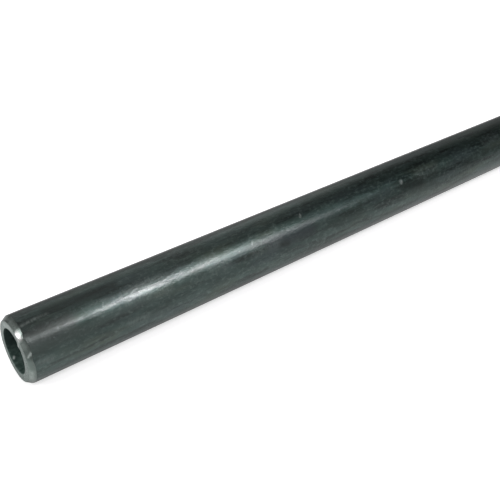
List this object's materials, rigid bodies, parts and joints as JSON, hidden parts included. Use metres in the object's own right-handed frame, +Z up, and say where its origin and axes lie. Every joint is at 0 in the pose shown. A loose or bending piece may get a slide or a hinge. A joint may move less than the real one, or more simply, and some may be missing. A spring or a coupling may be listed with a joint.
{
  "type": "steering shaft tube",
  "caption": "Length of hollow round steel steering shaft with a straight bore and an outside bevel at each end.",
  "frame": {"origin": "on the tube's axis, at the middle of its length", "axes": "+X along the axis, from the end in the picture to the far end; +Z up as the tube lies on a level floor"},
  "size_m": [0.4572, 0.019, 0.019],
  "materials": {
    "drawn_steel": "dark oiled mill skin on the drawn outside, bright turned bevels and end faces, dark bore"
  },
  "bodies": {
    "root": {"shaft_tube": "drawn_steel"}
  },
  "joints": []
}
